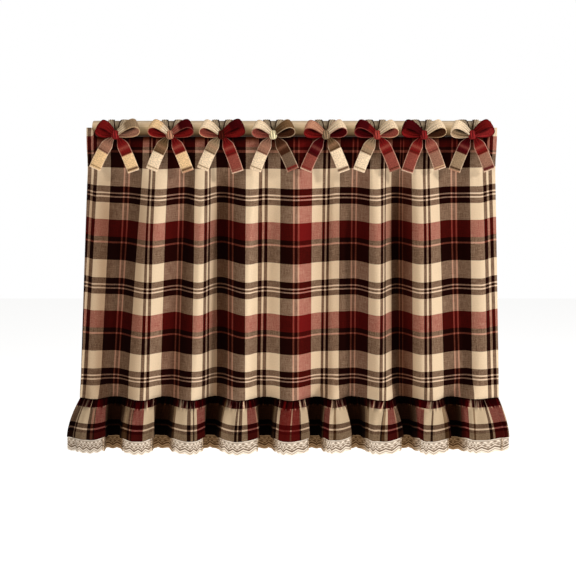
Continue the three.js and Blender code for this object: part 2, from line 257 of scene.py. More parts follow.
def unit(vectors):
    return vectors / np.maximum(np.linalg.norm(vectors, axis=-1, keepdims=True), 1e-9)


def as_share(colour):
    return np.array(colour) / 255


def encoded(dye):
    return as_share(DYES[dye])


def spun(dye):
    """A dye in the terms in which warp and weft mix, where the dark ones count for more."""
    return encoded(dye) ** YARN


def facing(points):
    """The backward normals of a grid of points, rows down and columns to the right."""
    down, right = np.gradient(points, axis=0), np.gradient(points, axis=1)
    return unit(np.cross(right, down))


def sheet_mesh(points, thickness, flat, dye, back_dye_and_shade):
    """A closed thin sheet on a grid of points, as (points, faces, places on the flat cloth,
    dyes with their painted shade)."""
    rows, columns = points.shape[:2]
    back = facing(points)
    layers = np.stack([points - back * thickness / 2, points + back * thickness / 2])
    front, rear = np.arange(2 * rows * columns).reshape(2, rows, columns)

    def quads(a, b, c, d):
        return np.stack([a, b, c, d], axis=-1).reshape(-1, 4)

    faces = np.concatenate([
        quads(front[:-1, :-1], front[1:, :-1], front[1:, 1:], front[:-1, 1:]),
        quads(rear[:-1, :-1], rear[:-1, 1:], rear[1:, 1:], rear[1:, :-1]),
        quads(front[0, :-1], front[0, 1:], rear[0, 1:], rear[0, :-1]),
        quads(front[-1, :-1], rear[-1, :-1], rear[-1, 1:], front[-1, 1:]),
        quads(front[:-1, 0], rear[:-1, 0], rear[1:, 0], front[1:, 0]),
        quads(front[:-1, -1], front[1:, -1], rear[1:, -1], rear[:-1, -1]),
    ])
    places = np.concatenate([flat, flat]).reshape(-1, 2)
    dyes = np.concatenate([dye, back_dye_and_shade]).reshape(-1, 3)
    return layers.reshape(-1, 3), faces, places, dyes


def round_faces(rows, columns):
    """The faces of a grid of points whose rows each close on themselves."""
    index = np.arange(rows * columns).reshape(rows, columns)
    near = np.roll(index, -1, axis=1)
    return np.stack([index[:-1], index[1:], near[1:], near[:-1]], axis=-1).reshape(-1, 4)


def merged(parts):
    """Several (points, faces, places, dyes) as one."""
    start, faces = 0, []
    for points, quads, _, _ in parts:
        faces.append(quads + start)
        start += len(points)
    stacked = [np.concatenate([part[n] for part in parts]) for n in (0, 2, 3)]
    return stacked[0], np.concatenate(faces), stacked[1], stacked[2]


def in_scene(name, data):
    made_object = bpy.data.objects.new(name, data)
    bpy.context.scene.collection.objects.link(made_object)
    return made_object


def piece(name, made, material, node):
    """A piece of the curtain from its arrays, in place of the frame's node."""
    points, faces, flat, dye = made
    mesh = bpy.data.meshes.new(name)
    mesh.vertices.add(len(points))
    mesh.vertices.foreach_set("co", (points * MM).ravel())
    mesh.loops.add(faces.size)
    mesh.loops.foreach_set("vertex_index", faces.ravel())
    mesh.polygons.add(len(faces))
    mesh.polygons.foreach_set("loop_start", np.arange(0, faces.size, faces.shape[1]))
    mesh.update(calc_edges=True)
    mesh.validate()
    corners = np.empty(len(mesh.loops), np.int32)
    mesh.loops.foreach_get("vertex_index", corners)
    places = mesh.uv_layers.new(name="cloth")
    places.uv.foreach_set("vector", (flat[corners] * MM).astype(np.float32).ravel())
    # The dye attribute carries each piece's dyes and its painted light and shade.
    opaque = np.column_stack([dye, np.ones(len(dye))]).astype(np.float32)
    mesh.attributes.new("dye", "FLOAT_COLOR", "POINT").data.foreach_set("color", opaque.ravel())
    mesh.shade_smooth()
    mesh.materials.append(material)
    made_object = in_scene(name, mesh)
    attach(made_object, "root")
    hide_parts(node)
    return made_object


# --------------------------------------------------------------------------- materials

RAMP_STOPS = 30


class Shader:
    """A new material. Each call adds a node and gives its output."""

    def __init__(self, name):
        self.material = bpy.data.materials.new(name)
        self.material.use_nodes = True
        self.tree = self.material.node_tree
        self.surface = self.tree.nodes["Principled BSDF"]

    def node(self, kind, *inputs, output=0, **settings):
        made = self.tree.nodes.new(f"ShaderNode{kind}")
        for key, value in settings.items():
            setattr(made, key, value)
        for place, value in enumerate(inputs):
            self.feed(made.inputs[place], value)
        return made.outputs[output]

    def feed(self, socket, value):
        if isinstance(value, bpy.types.NodeSocket):
            self.tree.links.new(value, socket)
        elif value is not None:
            socket.default_value = value

    def finish(self, values):
        """Gives the surface's named inputs their values."""
        for name, value in values.items():
            self.feed(self.surface.inputs[name], value)
        return self.material

    def math(self, operation, *inputs):
        return self.node("Math", *inputs, operation=operation)

    plus = partialmethod(math, "ADD")
    minus = partialmethod(math, "SUBTRACT")
    times = partialmethod(math, "MULTIPLY")
    over = partialmethod(math, "DIVIDE")

    def mix(self, share, first, second, blend="MIX"):
        made = self.tree.nodes.new("ShaderNodeMix")
        made.data_type = "RGBA"
        made.blend_type = blend
        for socket, value in ((0, share), (6, first), (7, second)):
            if not isinstance(value, bpy.types.NodeSocket) and socket:
                value = (*value, 1)
            self.feed(made.inputs[socket], value)
        return made.outputs[2]

    def times_colour(self, first, second):
        return self.mix(1.0, first, second, "MULTIPLY")

    def noise(self, vector, detail):
        return self.node("TexNoise", vector, None, 1.0, detail)

    def stripes(self, place, chart, end):
        """The dye at a place along a chart of (start, colour) stripes."""
        shown = None
        for first in range(0, len(chart), RAMP_STOPS):
            part, rest = chart[first:first + RAMP_STOPS], chart[first + RAMP_STOPS:]
            low, high = part[0][0], rest[0][0] if rest else end
            made = self.tree.nodes.new("ShaderNodeValToRGB")
            made.color_ramp.interpolation = "CONSTANT"
            stops = made.color_ramp.elements
            while len(stops) > 1:
                stops.remove(stops[-1])
            for number, (start, colour) in enumerate(part):
                position = (start - low) / (high - low)
                stop = stops[0] if number == 0 else stops.new(position)
                stop.position = position
                stop.color = (*colour, 1)
            self.feed(made.inputs[0], self.over(self.minus(place, low), high - low))
            beyond = self.math("GREATER_THAN", place, low)
            shown = self.mix(beyond, shown, made.outputs[0]) if shown else made.outputs[0]
        return shown


def cloth_places(shader):
    """Places on the flat cloth in millimetres: across and down."""
    flat = shader.node("UVMap", uv_map="cloth")
    across, down = (shader.node("SeparateXYZ", flat, output=n) for n in (0, 1))
    return [shader.times(value, 1 / MM) for value in (across, down)]


def streaks(shader, across, down, pace, detail=2.0):
    """Noise that changes at a pace across the cloth and another down it."""
    place = shader.node("CombineXYZ", shader.times(across, pace[0]),
                        shader.times(down, pace[1]), 0.0)
    return shader.noise(place, detail)


def threads(shader, across, down, warp_share=0.5):
    """The share of the warp that shows, the height of the weave, and a soft mottle."""
    warp_slubs = streaks(shader, across, down, WEAVE["slubs"])
    weft_slubs = streaks(shader, across, down, WEAVE["slubs"][::-1])
    mottle = streaks(shader, across, down, WEAVE["mottle"])
    twill = shader.math("SINE", shader.times(
        shader.plus(across, down), 2 * math.pi / WEAVE["twill"]))
    share = warp_share
    for value, gain in ((shader.minus(warp_slubs, weft_slubs), WEAVE["slubbed"]),
                        (shader.minus(mottle, 0.5), WEAVE["mottled"]),
                        (twill, WEAVE["ribbed"])):
        share = shader.plus(share, shader.times(value, gain))
    height = shader.plus(shader.times(twill, 0.5), shader.plus(warp_slubs, weft_slubs))
    return share, height, mottle


def add_relief(shader, height, strength, depth):
    """Bumps the surface by the height, to a depth in millimetres."""
    bump = shader.tree.nodes.new("ShaderNodeBump")
    bump.inputs["Strength"].default_value = strength
    bump.inputs["Distance"].default_value = depth * MM
    shader.feed(bump.inputs["Height"], height)
    shader.feed(shader.surface.inputs["Normal"], bump.outputs[0])


def finish_cloth(shader, looks, height, depth=WEAVE["depth"], roughness=0.95):
    """Gives the surface a colour that is held as it looks, and the weave's relief."""
    add_relief(shader, height, 0.5, depth)
    return shader.finish({"Base Color": shader.node("Gamma", looks, GAMMA),
                          "Roughness": roughness, "Specular IOR Level": 0.03})


def toned(shader, looks, tone):
    return shader.times_colour(looks, shader.node("CombineColor", tone, tone, tone))


# The mesh's dye attribute: each piece's dyes with its painted light and shade worked in.
def dye_and_painted_shade(shader):
    return shader.node("Attribute", attribute_name="dye")


def woven(shader, warp, weft, across, down, warp_share=0.5, deeper=1.0):
    """Cloth of two charts of stripes, on which the mesh's dye attribute lays painted shade."""
    share, height, mottle = threads(shader, across, down, warp_share)
    looks = shader.node("Gamma", shader.mix(share, weft, warp), deeper / YARN)
    tone = shader.plus(0.94, shader.times(mottle, 0.12))
    looks = shader.times_colour(toned(shader, looks, tone), dye_and_painted_shade(shader))
    return finish_cloth(shader, looks, height)


def spun_chart(chart):
    return [(start, spun(dye)) for start, dye in chart]


def panel_plaid():
    shader = Shader("plaid cotton, panel")
    across, down = cloth_places(shader)
    placed = shader.math("FLOORED_MODULO", across, WARP_REPEAT)
    plain = [(start, "black" if dye == "band" else dye) for start, dye in WARP]
    banded = [(start, (1, 1, 1) if dye == "band" else (0, 0, 0)) for start, dye in WARP]
    bands = [(number * WARP_REPEAT / 2, dye) for number, dye in enumerate(BANDS)]
    warp = shader.mix(shader.stripes(placed, banded, WARP_REPEAT),
                      shader.stripes(placed, spun_chart(plain), WARP_REPEAT),
                      shader.stripes(across, spun_chart(bands), len(BANDS) * WARP_REPEAT / 2))
    fallen = shader.math("FLOORED_MODULO", shader.minus(down, WEFT_START), WEFT_REPEAT)
    weft = shader.stripes(fallen, spun_chart(WEFT), WEFT_REPEAT)
    heading = shader.stripes(down, spun_chart(HEADING_WEFT), WEFT_START)
    weft = shader.mix(shader.math("GREATER_THAN", down, WEFT_START), heading, weft)
    return woven(shader, warp, weft, across, down)


def ruffle_plaid(crests, end):
    shader = Shader("plaid cotton, ruffle")
    across, down = cloth_places(shader)
    placed = [(crest + start, dye)
              for crest, fold in zip(crests, RUFFLE_WARP) for start, dye in fold]
    warp = shader.stripes(across, spun_chart(placed), end)
    weft = shader.stripes(down, spun_chart(RUFFLE_WEFT), RUFFLE_WEFT_END)
    shares = shader.stripes(across, [(start, [WARP_SHARE.get(dye, 0.5)] * 3)
                                     for start, dye in placed], end)
    # Painted highlights on the gathers under the seam, as fine pale lines where more warp shows.
    lines = streaks(shader, across, down, GATHER_HIGHLIGHTS["pace"], detail=1.0)
    drawn = shader.minus(shader.times(lines, GATHER_HIGHLIGHTS["gain"]), GATHER_HIGHLIGHTS["loss"])
    near_seam = shader.node("MapRange", down, GATHER_HIGHLIGHTS["none"], GATHER_HIGHLIGHTS["full"], 0.0, 1.0)
    shares = shader.plus(shares, shader.times(drawn, near_seam))
    return woven(shader, warp, weft, across, down, shares, RUFFLE_DEPTH)


def ribbon_plaid():
    """Cloth whose colours come with its mesh."""
    shader = Shader("plaid cotton, ribbons")
    share, height, mottle = threads(shader, *cloth_places(shader))
    tone = shader.plus(0.37, shader.plus(shader.times(mottle, 0.36), shader.times(share, 0.9)))
    return finish_cloth(shader, toned(shader, dye_and_painted_shade(shader), tone), height)


def lace_cloth():
    """Cotton lace, whose pattern has one repeat to a scallop: a plain band, a net, and dark
    zigzags that follow the edge. The dark lines and the net's holes are painted shade."""
    shader = Shader("cream lace")
    across, down = cloth_places(shader)

    def line(distance, place, width, dark):
        away = shader.over(shader.minus(distance, place), width)
        fade = shader.times(shader.math("POWER", away, 2.0), -1.0)
        return shader.times(shader.math("EXPONENT", fade), dark)

    def slanted(slant):
        place = shader.plus(across, shader.times(down, slant))
        turn = shader.times(place, math.pi * LACE_NET["meshes"] / LACE["repeat"])
        return shader.math("ABSOLUTE", shader.math("SINE", turn))

    lobe = shader.math("FRACT", shader.over(across, LACE["repeat"]))
    up = shader.minus(1.0, shader.math("ABSOLUTE", shader.minus(shader.times(lobe, 2.0), 1.0)))
    zigzag = shader.plus(LACE_ZIGZAG["low"], shader.times(up, LACE_ZIGZAG["rise"]))
    below = shader.minus(down, zigzag)
    # Painted shade in the net's holes and along the lace's dark lines.
    netted = shader.times(shader.math("LESS_THAN", below, -LACE_NET["short"]),
                          shader.math("GREATER_THAN", down, LACE_NET["start"]))
    holes = shader.times(slanted(LACE_NET["slant"]), slanted(-LACE_NET["slant"]))
    shade = shader.times(shader.times(holes, netted), LACE_NET["dark"])
    for dark_line in [line(down, *LACE_BAND)] + [line(below, *row) for row in LACE_LINES]:
        shade = shader.plus(shade, dark_line)
    shade = shader.math("MINIMUM", shade, 1.0)
    looks = shader.mix(shade, as_share(LACE_COLOURS_AND_SHADES["cord"]), as_share(LACE_COLOURS_AND_SHADES["furrow"]))
    looks = shader.times_colour(looks, dye_and_painted_shade(shader))
    return finish_cloth(shader, looks, shader.minus(1.0, shade), depth=0.8, roughness=0.9)


def rod_wood():
    shader = Shader("pale wood")
    place = shader.node("TexCoord", output=3)
    long_grain = shader.node("Mapping", place, (0, 0, 0), (0, 0, 0), WOOD["grain"])
    grain = shader.noise(long_grain, 4.0)
    ramp = shader.tree.nodes.new("ShaderNodeValToRGB")
    shades = (WOOD["dark"], WOOD["light"])
    for stop, position, shade in zip(ramp.color_ramp.elements, WOOD["spread"], shades):
        stop.position = position
        stop.color = (*as_share(shade) ** GAMMA, 1)
    shader.feed(ramp.inputs[0], grain)
    # The rod's dye attribute holds only its painted light and shade.
    painted_shade = shader.node("Gamma", dye_and_painted_shade(shader), GAMMA)
    add_relief(shader, grain, 0.25, WOOD["depth"])
    return shader.finish({"Base Color": shader.times_colour(ramp.outputs[0], painted_shade),
                          "Roughness": 0.6, "Specular IOR Level": 0.2})


# --------------------------------------------------------------------- the hanging cloth

def wave(share):
    """A half wave, from 0 to 1. Across the folds it is 1 at a crest and 0 at a valley."""
    return (1 - np.cos(np.pi * share)) / 2


def hem_turn(share, first):
    """The turn between a crest and a valley at the hem: late and steep on the way back."""
    leaving = first % 2 == 1
    start, end = (np.where(leaving, HEM_TURN["leave"][n], HEM_TURN["back"][n]) for n in (0, 1))
    steep = wave(np.clip((share - start) / (end - start), 0, 1))
    return lerp(steep, wave(share), HEM_TURN["round"])


def hem_aside(share, first):
    """How far across a half fold its hem has come: the steep wall after a crest stands
    square to the room."""
    start, end = HEM_TURN["leave"]
    wall = end - start
    walled = (share - wall * smooth(share, start, end)) / (1 - wall)
    return np.where(first % 2 == 1, walled, share)


def row_before(across):
    return np.clip(np.floor(across).astype(int), 0, LAST_FOLD - 1)


def fold_value(column, across, turn=None):
    """A column of FOLDS at a place across the folds, in a straight line between rows or in
    the given turn."""
    values = FOLDS[:, FOLD_COLUMNS.index(column)]
    first = row_before(across)
    share = across - first
    if turn:
        share = turn(share, first)
    return lerp(values[first], values[first + 1], share)


def waved(share, _):
    return wave(share)


def ear_share(across, fall):
    """How much of its rise a corner of the heading has."""
    top = np.maximum(0, 1 - fall / EAR["fall"])
    return top * smooth(np.abs(fold_value("heading", across)), EAR["middle"], EAR["outer"])


def panel_points(across, fall):
    heading = fold_value("heading", across)
    towards_seam = np.clip((fall - PANEL["low"]) / (1 - PANEL["low"]), 0, 1)
    low = lerp(heading, fold_value("low", across), np.minimum(1, fall / PANEL["low"]))
    grown = smooth(fall, 0, DEPTH["full"]) ** DEPTH["growth"]
    depth = lerp(DEPTH["heading"], 1, grown) * lerp(
        fold_value("low_out", across, waved), fold_value("seam_out", across, waved),
        smooth(towards_seam, 0, 1))
    sag = fold_value("sag", across, waved) * smooth(fall, 0, SAG["full"]) * lerp(
        1, SAG["left"], smooth(fall, SAG["until"], 1))
    drawn = HEADING["out"] * fading(fall, 0, HEADING["back"])
    top = np.maximum(0, 1 - fall / EAR["fall"])
    forward = top * smooth(np.abs(heading), EAR["inner"], EAR["middle"])
    out = lerp(depth + drawn, EAR["forward"], forward)
    height = lerp(PANEL["top"], PANEL["seam"], fall) - sag
    height += EAR["rise"] * ear_share(across, fall)
    aside = lerp(low, fold_value("seam", across), smooth(towards_seam, 0, 1))
    return np.stack([aside, -out, height], axis=-1)


def ruffle_points(across, length):
    allowance = np.minimum(0, length) / (PANEL["top"] - PANEL["seam"])
    seam = panel_points(across, 1 + allowance)
    hem_x = fold_value("hem", across, hem_aside)
    hem_out = fold_value("hem_out", across, hem_turn)
    aside, forward = hem_x - seam[..., 0], hem_out + seam[..., 1]
    drop = np.sqrt(RUFFLE["drop"] ** 2 - aside ** 2 - forward ** 2)
    fall = np.clip(length / RUFFLE["drop"], 0, 1)
    flare = 1 - (1 - fall) ** RUFFLE["flare"]
    return np.stack([seam[..., 0] + aside * flare, seam[..., 1] - forward * flare,
                     seam[..., 2] - drop * fall], axis=-1)


def hem_lengths(across):
    """How far along the ruffle's hem each place across the folds lies."""
    return arc_lengths(ruffle_points(across, np.full_like(across, RUFFLE["drop"])))


def hem_depth(across):
    """How far the hem is back from its crests, from 0 to 1, and where its two ends aren't."""
    first = row_before(across)
    turn = hem_turn(across - first, first)
    ends = smooth(across, 0.5, 1.2) * smooth(LAST_FOLD - across, 0.3, 1)
    return np.where(first % 2 == 1, turn, 1 - turn), ends


def grid(name, top, bottom, crowding):
    """The line across a sheet, and its places across and down, which crowd at the top."""
    columns, rows = GRIDS[name]
    line = np.linspace(0, LAST_FOLD, LAST_FOLD * columns + 1)
    down = lerp(top, bottom, np.linspace(0, 1, rows) ** crowding)
    return line, *np.meshgrid(line, down)


def inside_ends(across, width):
    return smooth(across, 0, width) * smooth(LAST_FOLD - across, 0, width)


def uneven(across, seed, waves, lowest, highest):
    """A gentle random curve across the folds, from -1 to 1."""
    random = np.random.default_rng(seed)
    total = np.zeros_like(across)
    for _ in range(waves):
        pace = random.uniform(lowest, highest)
        total += np.sin(2 * np.pi * (pace * across + random.uniform()))
    return total / math.sqrt(waves) / 1.4


def threads_at(points):
    """The warp's place on the flat cloth for a grid of points whose rows run across."""
    places = np.add.outer(np.arange(len(REPEATS)) * WARP_REPEAT, REPEAT_PLACES).ravel()
    high, low = (np.ravel([repeat[n] for repeat in REPEATS]) for n in (0, 1))
    top, bottom = REPEAT_HEIGHTS
    rows = []
    for row in points:
        stands = lerp(high, low, (row[:, 2].mean() - top) / (bottom - top))
        beyond = np.maximum(0, stands[0] - row[:, 0])
        rows.append(np.interp(row[:, 0], stands, places) - beyond)
    return np.array(rows)


def make_panel():
    _, across, fall = grid("panel", 0, 1, 1.15)
    points = panel_points(across, fall)
    grain = threads_at(points)
    # Soft creases down the cloth, and short puckers above the seam and below the heading.
    creases = uneven(across + 0.25 * np.sin(3 * fall), *UNEVEN["creases"])
    heading = bell(fall, 0.16) * wave(across)
    seam = bell(1 - fall, 0.035)
    relief = RELIEF["creases"] * creases * smooth(fall, 0.02, 0.3) * (1 - 0.7 * seam)
    relief += RELIEF["heading"] * heading * uneven(across, *UNEVEN["heading"])
    relief += RELIEF["seam"] * seam * uneven(across, *UNEVEN["seam"])
    inside = inside_ends(across, 0.6)
    points += facing(points) * (relief * inside)[..., None]
    down = (PANEL["top"] - PANEL["seam"]) * fall - EAR["fold"] * ear_share(across, fall)
    # Over the fullest crests the threads hang a little lower than the cloth's own sag.
    fullest = (fold_value("sag", across, waved) / 8) ** 2
    down -= 2 * fullest * smooth(fall, 0, 0.2) * fading(fall, 0.8, 1)
    # Painted shade in the valleys and on the walls turned from the light.
    walls = sum(amount * bell(across - place, 0.42) for place, amount in SHADES)
    deep = PANEL_DEEP["valleys"] * (1 - wave(across)) ** 1.5 + PANEL_DEEP["walls"] * walls
    deep *= smooth(fall, 0.04, 0.3) * inside
    # Painted shadow of the rod on the heading.
    open_air = 1 - ear_share(across, 0 * fall)
    deep += open_air * (PANEL_DEEP["edge"] * fading(fall, 0.004, 0.022)
                        + PANEL_DEEP["heading"] * fading(fall, 0.02, 0.075))
    # Painted shadow under each bow.
    for bow in BOWS:
        under = bell(points[..., 0] - bow["at"], PANEL_DEEP["reach"])
        deep += PANEL_DEEP["bows"] * under * fading(fall, 0.03, 0.09)
    # Painted shade on the back, in the hollows behind the crests.
    back_deep = PANEL_DEEP["back"] * wave(across) * smooth(fall, 0.1, 0.9)
    made = sheet_mesh(points, PANEL["cloth"], np.stack([grain, down], axis=-1),
                      painted_shade_tone(deep) * left_light("panel", across), painted_shade_tone(back_deep))
    made_piece = piece("curtain_panel", made, panel_plaid(), "panel")


def painted_shade_tone(depth):
    """Painted shade: the colour is darker and warmer the deeper it lies in a fold or shadow, from
    0 to 1.
    """
    return lerp(np.ones(3), np.array(DEEP), np.clip(depth, 0, 1)[..., None])


def left_light(name, across):
    """Painted shade: what the dye keeps near the left end, which the light reaches least."""
    return 1 - LEFT_LOSS[name] * bell(across - 0.8, 1.4)[..., None]


def arc_lengths(points):
    steps = np.linalg.norm(np.diff(points, axis=0), axis=1)
    return np.concatenate([[0], np.cumsum(steps)])


def make_ruffle():
    line, across, length = grid("ruffle", -RUFFLE["allowance"], RUFFLE["drop"], 1.2)
    hem = hem_lengths(line)
    flat_across = np.broadcast_to(hem, across.shape)
    points = ruffle_points(across, length)
    # Tight gathers under the seam, which open out into the folds.
    gathered = smooth(length, -2, 2) * fading(length, 7, 24)
    pleat = np.sin(2 * np.pi * flat_across / PLEATS["apart"]
                   + 3 * uneven(across, *UNEVEN["pleats"]))
    relief = RELIEF["pleats"] * gathered * pleat
    relief += RELIEF["ruffle"] * smooth(length, 8, 40) * uneven(across, *UNEVEN["ruffle"])
    behind = SEWN["gap"] + (SEWN["panel"] + SEWN["ruffle"]) / 2
    shift = behind * (1 - np.maximum(0, length) / RUFFLE["drop"])
    shift += relief * inside_ends(across, 0.3)
    points = points + facing(points) * shift[..., None]
    crests = [np.interp(number, line, hem) for number in range(1, LAST_FOLD, 2)]
    material = ruffle_plaid(crests, hem[-1] + 5)
    # Painted shade in the valleys and on the back's hollows, and painted shade and highlight on
    # the gathers.
    away, ends = hem_depth(across)
    pleated = gathered * lerp(-PLEATS["tone"], PLEATS["tone"], ((1 + pleat) / 2) ** 2.2)
    # Painted shadow just under the seam.
    pleated -= 0.5 * (1 + pleated) * fading(length, 0.5, 3)
    dye = RUFFLE_DEEP["all"] * left_light("ruffle", across) * painted_shade_tone(
        RUFFLE_DEEP["valleys"] * away ** 1.2 * ends) * (1 + pleated)[..., None]
    made = sheet_mesh(points, RUFFLE["cloth"], np.stack([flat_across, length], axis=-1),
                      dye, painted_shade_tone(RUFFLE_DEEP["back"] * (1 - away)))
    made_piece = piece("curtain_ruffle", made, material, "ruffle")


def make_lace():
    line, across, share = grid("lace", 0, 1, 1)
    lobe = across / LACE["lobe"] % 1
    tip = np.sin(np.pi * lobe) ** 0.75
    length = RUFFLE["drop"] + lerp(-LACE["lap"], LACE["drop"] + LACE["scallop"] * tip, share)
    below = length - RUFFLE["drop"]
    points = ruffle_points(across, np.minimum(length, RUFFLE["drop"]))
    points[..., 2] -= np.maximum(0, below)
    behind = (SEWN["ruffle"] + SEWN["lace"]) / 2 + LACE["gap"]
    points = points + facing(points) * behind
    # Painted shade in the ruffle's valleys, on the back's hollows and near the left end.
    away, ends = hem_depth(across)
    dye, back_dye_and_shade = (lerp(np.ones(3), np.array(LACE_COLOURS_AND_SHADES["deep"]), deep[..., None])
                     for deep in (away * ends, 0.5 * (1 - away)))
    dye *= left_light("lace", across)
    flat = np.stack([across / LACE["lobe"] * LACE["repeat"], below], axis=-1)
    made = sheet_mesh(points, LACE["cloth"], flat, dye, back_dye_and_shade)
    made_piece = piece("curtain_lace", made, lace_cloth(), "lace_edging")
    hem = hem_lengths(line)


# ------------------------------------------------------------------------------ the bows

RIBBON_ROWS, RIBBON_COLUMNS = 61, 25
BOW = dict(ribbon=22, cloth=1.2, waist=7)
KNOT = dict(out=29, height=-12.5, width=14.6, depth=13, tall=16.5)
LOOP = dict(swell=8.5, lean=60, roll=(14, 32), forward=0.18, start=0.03, opens=0.65)
TAIL = dict(start=(4.5, 1, -4), bend=(0.57, 0.3, 0.39), open=0.35, end_out=20)
STRAP = dict(apart=14, at_knot=5, width=12, clearance=1, out=7.5, below=7, sewn=16, slope=0.3,
             drawn=0.55, tuck=(0, 3, 2))

# The bows. at is the knot's place along the rod; each side's four numbers are a loop's reach
# and lift, and how far aside and below the knot a free end hangs. Then come the dyes: the
# knot's; for each loop its outside near the knot and near the turn, its inside, and its rim;
# for each free end its part near the knot, the rest, the share where that starts, and where
# they aren't tail()'s own, the bar near its end, its hem, and the bar's share of the length.
BOWS = [
    dict(at=-324, left=(34, 27, 40, 62), right=(45, 22, 32, 67), knot="ruby",
         loops=(("burgundy", "burgundy", "burgundy", "garnet"),
                ("cream", "taupe", "mauve", "tan")),
         tails=(("mauve", "tan", 0.48), ("burgundy", "tan", 0.52, "umber", "pale", 0.03))),
    dict(at=-224, left=(38, 25, 35, 64), right=(43, 22, 32, 67), knot="fawn",
         loops=(("cream", "tan", "burgundy", "fawn"), ("pink", "garnet", "burgundy", "mauve")),
         tails=(("olive", "cream", 0.5), ("burgundy", "tan", 0.47, "umber", "fawn", 0.034))),
    dict(at=-130, left=(38, 24, 35, 63), right=(43, 23, 30, 68), knot="russet",
         loops=(("cream", "cream", "dusty", "tan"), ("burgundy", "garnet", "burgundy", "garnet")),
         tails=(("taupe", "cream", 0.5), ("burgundy", "dusty", 0.52, "mauve"))),
    dict(at=-35, left=(37, 23, 33, 65), right=(39, 24, 37, 64), knot="ivory",
         loops=(("cream", "cream", "dusty", "mauve"), ("olive", "brown", "umber", "cream")),
         tails=(("mauve", "cream", 0.5), ("umber", "smoke", 0.52, "burgundy", "pink", 0.034))),
    dict(at=62, left=(39, 21, 37, 65), right=(37, 25, 34, 67), knot="taupe",
         loops=(("fawn", "fawn", "burgundy", "garnet"), ("cream", "cream", "garnet", "pink")),
         tails=(("garnet", "dusty", 0.55, "burgundy"),
                ("olive", "cream", 0.38, "umber", "pale", 0.034))),
    dict(at=156, left=(41, 22, 33, 66), right=(37, 24, 34, 65), knot="coral",
         loops=(("burgundy", "garnet", "garnet", "pink"), ("cream", "cream", "dusty", "tan")),
         tails=(("taupe", "cream", 0.5), ("burgundy", "dusty", 0.5, "umber", "mauve"))),
    dict(at=242, left=(41, 22, 30, 68), right=(38, 24, 31, 63), knot="ruby",
         loops=(("garnet", "garnet", "burgundy", "garnet"), ("cream", "cream", "umber", "tan")),
         tails=(("burgundy", "dusty", 0.47, "umber"), ("dusty", "mauve", 0.47, "tan"))),
    dict(at=330, left=(39, 21, 31, 66), right=(38, 25, 34, 65), knot="ruby",
         loops=(("cream", "cream", "taupe", "pale"), ("burgundy", "burgundy", "ruby", "garnet")),
         tails=(("garnet", "taupe", 0.48, "black", "fawn", 0.02),
                ("burgundy", "mauve", 0.5, "garnet", "pale", 0.034))),
]


def half_width(free):
    return lerp(BOW["waist"], BOW["ribbon"], free) / 2


def ribbon(middle, across, cupped, dye):
    """A ribbon on its middle line, with half widths as vectors. cupped lifts its middle, and
    creases run along it from the knot."""
    side = np.linspace(-1, 1, RIBBON_COLUMNS)
    points = middle[:, None] + across[:, None] * side[None, :, None]
    length = arc_lengths(middle)
    share = (length / length[-1])[:, None]
    open_width = np.linalg.norm(across, axis=1)[:, None] / (BOW["ribbon"] / 2)
    creases = np.sin(9.5 * side + 1.3 * np.sin(5 * share) + 7 * length[-1]) * (1 - side ** 6)
    lift = cupped[:, None] * (1 - side ** 2) + 0.7 * creases * (1.1 - open_width)
    points = points - facing(points) * lift[..., None]
    flat = np.stack(np.broadcast_arrays(side * BOW["ribbon"] / 2, length[:, None]), axis=-1)
    sides, shares = (np.broadcast_to(value, flat.shape[:2]) for value in (side, share))
    # Painted shade in the creases near the knot.
    painted_shade = lerp(1, 0.78 + 0.2 * creases, smooth(1 - open_width, 0.05, 0.5))
    dyes = [dye(sides, shares, back) * painted_shade[..., None] for back in (False, True)]
    return sheet_mesh(points, BOW["cloth"], flat, *dyes)


def edged(colours, side, dye="pale"):
    """Lightens a ribbon's two turned edges."""
    edge = 0.55 * smooth(np.abs(side), 0.84, 0.93)
    return lerp(colours, encoded(dye), edge[..., None])


def loop(side, reach, lift_degrees, near, far, inner, rim):
    """From the knot outwards as the loop's front layer, and back as its lower layer."""
    lift, lean = math.radians(lift_degrees), math.radians(LOOP["lean"])
    outward = np.array([side * math.cos(lift), -LOOP["forward"], math.sin(lift)])
    upward = np.array([-side * math.sin(lift), 0, math.cos(lift)])
    swelling = np.array([0, -math.cos(lean), 0]) + upward * math.sin(lean)
    turn = np.pi * np.linspace(LOOP["start"], 1 - LOOP["start"], RIBBON_ROWS)[:, None]
    middle = outward * reach * np.sin(turn) + swelling * LOOP["swell"] * np.sin(2 * turn)
    roll = np.radians(lerp(*LOOP["roll"], (1 + np.sin(2 * turn)) / 2))
    face = upward * np.cos(roll) + np.array([0, 1, 0]) * np.sin(roll)
    across = face * side * half_width(np.sin(turn) ** LOOP["opens"])

    def dye(place, share, back):
        if back:
            # Painted shade: the inside is dark under the front layer's edge and lighter towards
            # its lower rim.
            colours = encoded(inner) * lerp(1.2, 0.4, smooth(place * side, 0.1, 0.8))[..., None]
        else:
            colours = lerp(encoded(near), encoded(far), smooth(share, 0.17, 0.25)[..., None])
        return edged(colours, place, rim)

    return ribbon(middle, across, 1.5 * np.sin(turn[:, 0]) ** 2, dye)


